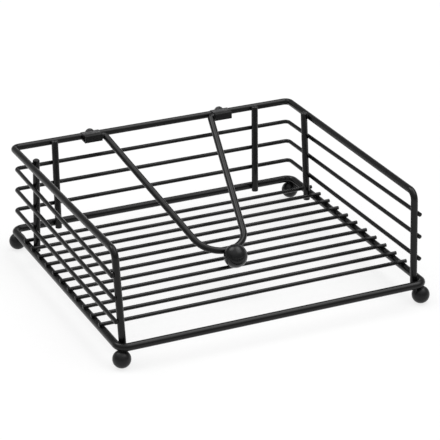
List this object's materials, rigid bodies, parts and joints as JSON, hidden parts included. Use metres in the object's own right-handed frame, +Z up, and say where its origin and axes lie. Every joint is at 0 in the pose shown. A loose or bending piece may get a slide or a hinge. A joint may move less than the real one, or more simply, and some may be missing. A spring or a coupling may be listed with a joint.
{
  "type": "napkin holder",
  "caption": "Open-fronted square basket of black wire on ball feet, with a hinged V-shaped wire arm whose ball weight holds flat napkins down.",
  "frame": {"origin": "middle of the footprint, on the surface that the holder stands on", "axes": "+Z up, -Y towards the open front, +X to the right seen from the front"},
  "size_m": [0.1952, 0.1814, 0.0692],
  "materials": {
    "wire_coat": "satin black powder coat on steel wire",
    "ball_coat": "satin black powder coat on steel balls"
  },
  "bodies": {
    "basket": {"base_ring": "wire_coat", "top_rim": "wire_coat", "upper_side_rail": "wire_coat", "middle_side_rail": "wire_coat", "lower_side_rail": "wire_coat", "left_strut": "wire_coat", "right_strut": "wire_coat", "back_left_strut": "wire_coat", "back_right_strut": "wire_coat", "floor_wire_01": "wire_coat", "floor_wire_02": "wire_coat", "floor_wire_03": "wire_coat", "floor_wire_04": "wire_coat", "floor_wire_05": "wire_coat", "floor_wire_06": "wire_coat", "floor_wire_07": "wire_coat", "floor_wire_08": "wire_coat", "floor_wire_09": "wire_coat", "floor_wire_10": "wire_coat", "floor_wire_11": "wire_coat", "foot_front_left": "ball_coat", "foot_front_right": "ball_coat", "foot_back_left": "ball_coat", "foot_back_right": "ball_coat", "left_hinge_clip": "wire_coat", "right_hinge_clip": "wire_coat"},
    "arm": {"arm_wire": "wire_coat", "arm_ball": "ball_coat"}
  },
  "joints": [
    {"name": "arm_hinge", "type": "hinge", "parent": "basket", "child": "arm", "pos_m": [0.0008, 0.08255, 0.06535], "axis": [-1, 0, 0], "range_deg": [0, 115]}
  ]
}
